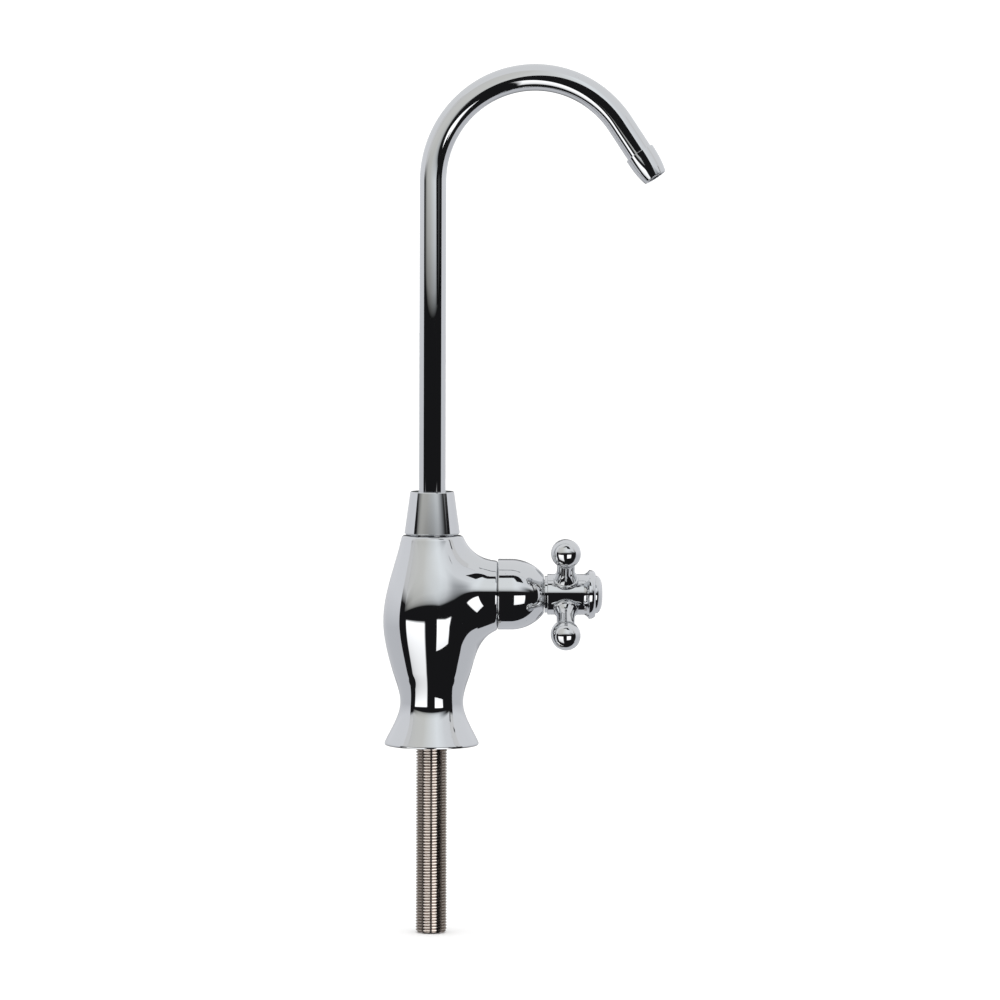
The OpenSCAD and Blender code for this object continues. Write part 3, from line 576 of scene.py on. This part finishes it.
# %% Chrome
def chrome_plate(name, waviness, wipe):
    """Polished chrome: haze in the roughness, pinholes in the colour and a waviness in metres."""
    material, tree, shader = finish(name, Metallic=1.0)
    haze = spread(tree, grown(tree, 70), 0.35, 0.75, 0.012, 0.04)
    strokes = spread(tree, grown(tree, 60, wipe), 0.5, 0.8, 0.0, 0.03)
    pores = spread(tree, grown(tree, 420, kind="ShaderNodeTexVoronoi"), 0.03, 0.07, 0.0, 1.0)
    rare = spread(tree, grown(tree, 130, detail=1.0), 0.6, 0.66, 1.0, 0.0)
    plate = combined(tree, pores, rare, "MAXIMUM")
    tree.links.new(combined(tree, haze, strokes), shader.inputs["Roughness"])
    tinted(tree, shader, plate, (0.16, 0.16, 0.17), (0.66, 0.67, 0.685))
    raised(tree, shader, grown(tree, 95, detail=1.5), waviness)
    return material


cast_chrome = chrome_plate("chrome_on_casting", 1.4e-5, (1, 1, 0.25))
turned_chrome = chrome_plate("chrome_on_turned_parts", 5e-6, (0.2, 1, 1))
tube_chrome = chrome_plate("chrome_on_tube", 4e-6, (1, 1, 0.1))
print("three chrome finishes: casting, turned parts, tube")

# %% [markdown]
# The shank is plated more thinly and left unpolished. Its colour is lighter at the crests and darker in
# the grooves, and long streaks run along it. The valve's parts, mostly hidden, are brass, ceramic,
# rubber, plastic and steel.

# %% Shank and valve finishes
def shank_plate(name):
    """Warm nickel: the distance from the shank's axis tells groove from crest."""
    material, tree, shader = finish(name, Metallic=1.0)
    coords = tree.nodes.new("ShaderNodeTexCoord")
    flat = tree.nodes.new("ShaderNodeVectorMath")
    flat.operation = "MULTIPLY"
    flat.inputs[1].default_value = (1, 1, 0)
    length = tree.nodes.new("ShaderNodeVectorMath")
    length.operation = "LENGTH"
    tree.links.new(coords.outputs["Object"], flat.inputs[0])
    tree.links.new(flat.outputs["Vector"], length.inputs[0])
    crest = spread(tree, length.outputs["Value"], 4.95 * MM, 5.45 * MM, 0.1, 0.85)
    streak = spread(tree, grown(tree, 420, (1, 1, 0.06)), 0.3, 0.7, 0.0, 0.2)
    tinted(tree, shader, combined(tree, crest, streak), (0.36, 0.32, 0.295), (0.68, 0.62, 0.575))
    dullness = spread(tree, grown(tree, 300, (1, 1, 0.2)), 0.3, 0.7, 0.07, 0.16)
    tree.links.new(dullness, shader.inputs["Roughness"])
    raised(tree, shader, grown(tree, 240, (1, 1, 0.3), detail=1.5), 6e-6)
    return material


def plain_finish(name, dark, light, rough, scale, depth, **sockets):
    """A finish whose colour, roughness and relief all follow one fine grain."""
    material, tree, shader = finish(name, **sockets)
    grain = grown(tree, scale)
    tinted(tree, shader, spread(tree, grain, 0.3, 0.7, 0.0, 1.0), dark, light)
    tree.links.new(spread(tree, grain, 0.3, 0.7, *rough), shader.inputs["Roughness"])
    raised(tree, shader, grain, depth)
    return material


finishes = {
    "chrome": turned_chrome,
    "shank_metal": shank_plate("nickel_on_thread"),
    "brass": plain_finish("machined_brass", (0.62, 0.44, 0.17), (0.80, 0.62, 0.30),
                          (0.18, 0.32), 700, 8e-6, Metallic=1.0),
    "steel": plain_finish("stainless_steel", (0.48, 0.48, 0.49), (0.64, 0.64, 0.65),
                          (0.20, 0.36), 900, 6e-6, Metallic=1.0),
    "ceramic": plain_finish("lapped_ceramic", (0.86, 0.84, 0.79), (0.94, 0.92, 0.87),
                            (0.18, 0.28), 1500, 2e-6),
    "rubber": plain_finish("moulded_rubber", (0.016, 0.016, 0.018), (0.035, 0.035, 0.038),
                           (0.5, 0.7), 1200, 1e-5),
    "plastic": plain_finish("washer_plastic", (0.80, 0.80, 0.77), (0.90, 0.90, 0.87),
                            (0.38, 0.5), 800, 6e-6),
}
print("finishes:", ", ".join(finishes))

# %% Put the finishes on
slots = {part["node"]: part["material_slot"] for part in frame["record"]["subparts"]}
for name, slot in slots.items():
    nodes[name].data.materials.clear()
    nodes[name].data.materials.append(finishes[slot])
cast_body.data.materials.append(cast_chrome)
shank.data.materials.append(finishes["shank_metal"])
spout.data.materials.append(tube_chrome)
turned_pieces = [bonnet, collar, nozzle, hub, cap, *arms]
for piece in turned_pieces:
    piece.data.materials.append(turned_chrome)
print("finishes on", len(slots), "nodes and", 3 + len(turned_pieces), "new pieces")

# %% [markdown]
# ## Camera
#
# The photograph was taken from about two metres with a long lens, level with the spout and looking down
# by a few degrees. The frame is one thousand pixels square, at 0.36 mm for each pixel on the tap's axis.

# %% Camera
DISTANCE, ELEVATION, ROLL = 2000.0, np.radians(3.8), np.radians(0.2)
AIM = np.array([24.4, 0.0, 88.6])
PIXEL, PIXELS, SENSOR = 0.36, 1000, 36.0
forward = np.array([0, np.cos(ELEVATION), -np.sin(ELEVATION)])
level_right, level_up = X, np.cross(X, forward)
EYE = AIM - DISTANCE * forward
right = np.cos(ROLL) * level_right + np.sin(ROLL) * level_up
up = np.cos(ROLL) * level_up - np.sin(ROLL) * level_right
lens = bpy.data.cameras.new("camera")
lens.sensor_width = SENSOR
lens.lens = SENSOR * DISTANCE / (PIXELS * PIXEL)
lens.clip_end = 50
camera = bpy.data.objects.new("camera", lens)
place = np.eye(4)
place[:3, :3] = np.stack([right, up, -forward], axis=1)
place[:3, 3] = EYE * MM
camera.matrix_world = Matrix(place.tolist())
bpy.context.scene.collection.objects.link(camera)
bpy.context.scene.camera = camera
print("lens:", round(lens.lens, 1), "mm")

# %% [markdown]
# ## Floor and backdrop
#
# The tap stands on its shank on a pale floor, in front of a pale wall that goes all the way round, so
# that every view has the same plain ground. Both are left out of the reflections, which have a set of
# their own.

# %% Floor and wall
def stage_sheet(name, points, material, **seen):
    """A grid of metre points as a stage mesh; keywords say which rays see it."""
    mesh = bpy.data.meshes.new(name)
    rows, columns = points.shape[:2]
    mesh.from_pydata(points.reshape(-1, 3).tolist(), [], grid_quads(rows, columns, False, False).tolist())
    mesh.materials.append(material)
    mesh.shade_smooth()
    sheet = bpy.data.objects.new(name, mesh)
    bpy.context.scene.collection.objects.link(sheet)
    for ray_kind, visible in seen.items():
        setattr(sheet, "visible_" + ray_kind, visible)
    sheet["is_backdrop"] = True


def glow(name, colour, strength):
    """A plain material that gives off light."""
    material = bpy.data.materials.new(name)
    material.use_nodes = True
    tree = material.node_tree
    tree.nodes.remove(tree.nodes["Principled BSDF"])
    light = tree.nodes.new("ShaderNodeEmission")
    light.inputs["Color"].default_value = (*colour, 1)
    light.inputs["Strength"].default_value = strength
    tree.links.new(light.outputs[0], tree.nodes["Material Output"].inputs["Surface"])
    return material


FLOOR_Z, ROOM_R = -SHANK_LEN * MM - 0.0002, 6
round_t = np.linspace(0, 2 * np.pi, 97)[None, :]
compass = np.stack([np.cos(round_t), np.sin(round_t), 0 * round_t], axis=-1)
floor = np.linspace(0, ROOM_R, 25)[:, None, None] * compass + FLOOR_Z * Z
rise_t = np.radians(np.linspace(0, 90, 25))[:, None, None]
wall = ROOM_R * np.cos(rise_t) * compass + (FLOOR_Z + ROOM_R * np.sin(rise_t)) * Z
pale_floor, _, _ = finish("pale_floor", Base_Color=(0.96, 0.96, 0.96, 1), Roughness=0.9)
stage_sheet("floor", floor, pale_floor, glossy=False)
stage_sheet("wall", wall, glow("pale_wall", (1, 1, 1), 1.2), glossy=False)
print("floor at", round(FLOOR_Z * 1000, 1), "mm")

# %% [markdown]
# ## The light tent
#
# Chrome is photographed in a tent of white cloth that is open towards the camera. The cloth gives the
# pale edges, and the dark opening gives the black bands. Lamps on plain cloth would do, but cloth that
# glows by itself is free of noise. Each sheet shows only in reflections, and its brightness is a ramp
# along one or two axes.

# %% Glowing cloth
def ramp_along(tree, axis, stops):
    """Colour that runs through (place in metres, colour) stops along one axis."""
    coords = tree.nodes.new("ShaderNodeTexCoord")
    parts = tree.nodes.new("ShaderNodeSeparateXYZ")
    ramp = tree.nodes.new("ShaderNodeValToRGB")
    tree.links.new(coords.outputs["Object"], parts.inputs[0])
    low, high = stops[0][0], stops[-1][0]
    tree.links.new(spread(tree, parts.outputs["XYZ".index(axis)], low, high, 0, 1), ramp.inputs["Fac"])
    marks = ramp.color_ramp.elements
    marks[0].color, marks[1].color = (*stops[0][1], 1), (*stops[-1][1], 1)
    for place, colour in stops[1:-1]:
        marks.new((place - low) / (high - low)).color = (*colour, 1)
    return ramp.outputs["Color"]


def shaded_glow(name, strength, *ramps):
    """Glowing cloth whose colour is the product of one or two ramps, each an axis and its stops."""
    material = glow(name, (1, 1, 1), strength)
    tree = material.node_tree
    colours = [ramp_along(tree, *ramp) for ramp in ramps]
    product = tree.nodes.new("ShaderNodeVectorMath")
    product.operation = "MULTIPLY"
    product.inputs[1].default_value = (1, 1, 1)
    for colour, socket in zip(colours, product.inputs):
        tree.links.new(colour, socket)
    tree.links.new(product.outputs["Vector"], tree.nodes["Emission"].inputs["Color"])
    return material


def grey(*stops):
    """Stops in plain grey, from (place, brightness) pairs."""
    return [(place, (value, value, value)) for place, value in stops]


def rectangle(corner, side_a, side_b):
    """Grid over a flat sheet: a corner plus shares of its two sides."""
    s = np.linspace(0, 1, 2)
    return np.array(corner) + s[:, None, None] * np.array(side_a) + s[None, :, None] * np.array(side_b)


def reflected_sheet(name, points, material):
    """A stage sheet that only reflections show."""
    stage_sheet(name, points, material, camera=False, diffuse=False, shadow=False, transmission=False)


# %% Tent
BACK, SIDE, TOP, FRONT, SLIT = 0.75, 0.75, 0.85, -0.30, -0.10
DEEP, GROUND_Z, GROUND_FRONT = FLOOR_Z - 0.4, FLOOR_Z - 0.02, 0.01
cloth = shaded_glow("tent_cloth", 1.0, ("Z", [
    (-0.07, (0.66, 0.67, 0.70)), (0.2, (0.86, 0.87, 0.90)), (0.8, (0.88, 0.89, 0.90))]))
reflected_sheet("tent_back", rectangle((-SIDE, BACK, DEEP), (2 * SIDE, 0, 0), (0, 0, TOP - DEEP)), cloth)
share, across = np.linspace(0, 1, 2)[:, None], np.linspace(-SIDE, SIDE, 49)[None, :]
edge_y = GROUND_FRONT + (SLIT - GROUND_FRONT) * np.abs(across) / SIDE
ground = [across + 0 * share, edge_y + (BACK - edge_y) * share, GROUND_Z + 0 * across * share]
reflected_sheet("tent_ground", np.stack(ground, axis=-1), cloth)
reflected_sheet("tent_roof", rectangle((-SIDE, FRONT, TOP), (2 * SIDE, 0, 0), (0, BACK - FRONT, 0)), cloth)
for side, x in (("left", -SIDE), ("right", SIDE)):
    wall_side = rectangle((x, SLIT, DEEP), (0, BACK - SLIT, 0), (0, 0, TOP - DEEP))
    reflected_sheet("tent_" + side, wall_side, cloth)
print("tent:", 2 * SIDE, "m wide, with its back at", BACK, "m")

# %% [markdown]
# A bright panel hangs over the opening and fills the upper half of each round. Its lower edge and its
# sides fade out, as cloth does that is lit from behind, and flaps close the tent at either side of it.

# %% Flaps
FLAP_Z, GAP, GAP_TOP = 0.20, 0.05, 0.50
flap = shaded_glow("side_flap", 0.8, ("Z", grey((FLAP_Z, 0.0), (0.30, 0.9), (0.42, 1.0))))
flap_spans = [("left", -SIDE, FRONT, FLAP_Z, TOP), ("right", SIDE, FRONT + GAP, FLAP_Z, GAP_TOP),
              ("corner", SIDE, FRONT, GAP_TOP, TOP)]
for side, x, y, low, high in flap_spans:
    reflected_sheet("flap_" + side, rectangle((x, y, low), (0, SLIT - y, 0), (0, 0, high - low)), flap)
print("flaps from", FLAP_Z, "to", TOP, "m")


# %% Front panel
def panel_cloth(name, low, high, rise, fade):
    """Cloth whose colours along X go over from low stops to high ones as Z rises, times a fade in Z."""
    material = glow(name, (1, 1, 1), 1.05)
    tree = material.node_tree
    blend = tree.nodes.new("ShaderNodeMix")
    blend.data_type = "RGBA"
    tree.links.new(ramp_along(tree, "Z", rise), blend.inputs[0])
    tree.links.new(ramp_along(tree, "X", low), blend.inputs[6])
    tree.links.new(ramp_along(tree, "X", high), blend.inputs[7])
    product = tree.nodes.new("ShaderNodeVectorMath")
    product.operation = "MULTIPLY"
    tree.links.new(blend.outputs[2], product.inputs[0])
    tree.links.new(ramp_along(tree, "Z", fade), product.inputs[1])
    tree.links.new(product.outputs["Vector"], tree.nodes["Emission"].inputs["Color"])
    return material


PANEL_Y, WIDE, TALL, EDGE = -0.38, 0.95, 1.06, 0.141
low_stops = [(-WIDE, (0.10, 0.10, 0.10)), (-0.76, (0.26, 0.26, 0.25)), (-0.635, (0.42, 0.42, 0.40)),
             (-0.405, (0.64, 0.64, 0.61)), (-0.18, (0.73, 0.73, 0.70)), (0.115, (0.98, 1.02, 1.04)),
             (0.19, (0.93, 0.96, 0.98)), (0.29, (0.58, 0.60, 0.62)), (0.42, (0.24, 0.25, 0.26)),
             (0.585, (0.03, 0.03, 0.03)), (WIDE, (0.03, 0.03, 0.03))]
high_stops = [(-WIDE, (0.70, 0.70, 0.69)), (-0.20, (0.74, 0.74, 0.71)), (0.127, (0.98, 1.02, 1.04)),
              (0.38, (0.84, 0.86, 0.88)), (WIDE, (0.80, 0.81, 0.83))]
panel = panel_cloth("front_panel", low_stops, high_stops, grey((0.222, 0.0), (0.324, 1.0)),
                    grey((EDGE, 0.0), (0.152, 0.40), (0.172, 0.68), (0.20, 0.88), (0.26, 1.0)))
panel_area = rectangle((-WIDE, PANEL_Y, EDGE), (2 * WIDE, 0, 0), (0, 0, TALL - EDGE))
reflected_sheet("front_panel", panel_area, panel)
print("panel's lower edge at", round(EDGE * 1000), "mm")

# %% [markdown]
# Two white boards stand either side of the camera and give the bright patches on belly and balls. Their
# tops are low enough to stay out of the stem, which shows the dark room there.

# %% White boards
BOARD_Y, BOARD_GLOW = -0.43, 1.8


def white_board(side, x_stops, z_stops):
    """A board from the first to the last of its (place, brightness) stops, along X and along Z."""
    paint = shaded_glow(side + "_board", BOARD_GLOW, ("X", grey(*x_stops)), ("Z", grey(*z_stops)))
    x, z = x_stops[0][0], z_stops[0][0]
    wide, tall = x_stops[-1][0] - x, z_stops[-1][0] - z
    reflected_sheet("board_" + side, rectangle((x, BOARD_Y, z), (wide, 0, 0), (0, 0, tall)), paint)
    print(side, "board:", round(wide, 2), "by", round(tall, 2), "m")


white_board("left", [(-0.86, 0.0), (-0.80, 1.0), (-0.14, 1.0), (-0.11, 0.0)],
            [(-0.62, 0.45), (-0.05, 0.9), (0.01, 1.0), (0.04, 0.0)])
white_board("right", [(0.09, 0.0), (0.10, 1.0), (0.37, 1.0), (0.40, 0.0)],
            [(-0.20, 0.75), (-0.02, 1.0), (0.045, 1.0), (0.06, 0.0)])

# %% [markdown]
# Seen from behind, the tent alone would leave the chrome flat grey. A strip of black film with soft edges
# hangs at the tent's back and runs on along the ground, and draws a dark stripe down each piece.

# %% Strip behind
NIGHT = (0.012, 0.012, 0.013)


def black_film(name, *ramps):
    """Black film that is as see-through as the clearer of two ramps says, each an axis and its stops."""
    material = glow(name, NIGHT, 1.0)
    tree = material.node_tree
    clear = tree.nodes.new("ShaderNodeBsdfTransparent")
    mix = tree.nodes.new("ShaderNodeMixShader")
    first, second = (ramp_along(tree, *ramp) for ramp in ramps)
    tree.links.new(combined(tree, first, second, "MAXIMUM"), mix.inputs[0])
    tree.links.new(tree.nodes["Emission"].outputs[0], mix.inputs[1])
    tree.links.new(clear.outputs[0], mix.inputs[2])
    tree.links.new(mix.outputs[0], tree.nodes["Material Output"].inputs["Surface"])
    return material


STRIP, STRIP_TOP, STRIP_Z, AFAR, NEAR = 0.22, 0.55, GROUND_Z + 0.001, BACK - 0.01, 0.15
strip_edges = ("X", grey((-STRIP, 1.0), (-0.08, 0.1), (0.08, 0.1), (STRIP, 1.0)))
back_film = black_film("back_film", strip_edges, ("Z", grey((0.16, 0.1), (0.26, 0.2), (STRIP_TOP, 1.0))))
ground_film = black_film("ground_film", strip_edges, ("Y", grey((NEAR, 1.0), (0.45, 0.6), (AFAR, 0.1))))
upright = rectangle((-STRIP, AFAR, STRIP_Z), (2 * STRIP, 0, 0), (0, 0, STRIP_TOP - STRIP_Z))
lying = rectangle((-STRIP, NEAR, STRIP_Z), (2 * STRIP, 0, 0), (0, AFAR - NEAR, 0))
reflected_sheet("back_film", upright, back_film)
reflected_sheet("ground_film", lying, ground_film)
print("strip:", 2 * STRIP, "m wide")

# %% [markdown]
# A thread mirrors its surroundings in many slivers, so it needs broad, strong bands about it to look like
# dull metal. A striped paper sleeve stands round the shank, two centimetres off it, with a grey back.

# %% Paper sleeve
PAPER_R, PAPER_LOW, PAPER_HIGH = 0.025, FLOOR_Z - 0.03, -0.003


def sleeve(name, start, stop, material):
    """Half a tube round the tap's axis; angles in degrees, from the camera's side to the right."""
    t = np.radians(np.linspace(start, stop, 49))[None, :]
    z = np.array([PAPER_LOW, PAPER_HIGH])[:, None]
    points = [PAPER_R * np.sin(t) + 0 * z, -PAPER_R * np.cos(t) + 0 * z, z + 0 * t]
    reflected_sheet(name, np.stack(points, axis=-1), material)


paper = shaded_glow("shank_paper", 1.0, ("X", grey(
    (-PAPER_R, 0.40), (-0.0236, 0.40), (-0.0230, 0.03), (-0.0204, 0.03), (-0.0196, 1.3), (-0.0042, 1.25),
    (-0.0032, 0.06), (0.0022, 0.06), (0.0034, 1.8), (0.0146, 1.8), (0.0158, 0.02), (0.0244, 0.02),
    (0.0248, 0.36), (PAPER_R, 0.36))))
sleeve("shank_front", -90, 90, paper)
sleeve("shank_back", 90, 270, glow("shank_dusk", (0.37, 0.36, 0.35), 1.0))
print("paper sleeve of radius", PAPER_R * 1000, "mm")

# %% [markdown]
# A black flag with a round top hangs ten centimetres in front of the bend, and reaches lower in front of
# the nozzle. It keeps the panel out of the middle of the tube there, so that the bend shows a black band
# between its bright upper edge and the white of the boards.

# %% Flag
FLAG_X, FLAG_Y, FLAG_Z, FLAG_LOW = 0.050, -0.10, 0.212, 0.155
HALF_WIDTH, HEIGHT, COLUMNS = 0.066, 0.088, 49
flag_x = FLAG_X + HALF_WIDTH * np.sin(np.linspace(-np.pi / 2, np.pi / 2, COLUMNS))
flag_top = FLAG_Z + HEIGHT * np.sqrt(np.maximum(1 - ((flag_x - FLAG_X) / HALF_WIDTH) ** 2, 0))
flag_foot = np.interp(flag_x, [FLAG_X, FLAG_X + 0.015], [FLAG_Z, FLAG_LOW])
flag = [np.stack([flag_x, np.full(COLUMNS, FLAG_Y), edge], axis=-1) for edge in (flag_foot, flag_top)]
reflected_sheet("bend_flag", np.stack(flag), glow("black_flag", NIGHT, 1.0))
print("flag from", round(flag_foot.min() * 1000), "to", round(flag_top.max() * 1000), "mm")

# %% [markdown]
# What no sheet covers is the dark room in front of the tent. The Standard view transform keeps the white
# of the floor and the black of the bands as they are.

# %% Dark room
world = bpy.data.worlds.new("dark_room")
world.use_nodes = True
world.node_tree.nodes["Background"].inputs["Color"].default_value = (*NIGHT, 1)
bpy.context.scene.world = world
bpy.context.scene.view_settings.view_transform = "Standard"
print("room:", NIGHT)

# %% [markdown]
# ## Sizes
#
# Both boxes, the frame's and the one of the pieces shown, are printed.

# %% Write the boxes and finish
visual_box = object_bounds()
for name, box in (("CAD", cad_box), ("visual", visual_box)):
    print(name, "box in mm:", np.round(np.array([list(c) for c in box]) * 1000, 1).tolist())
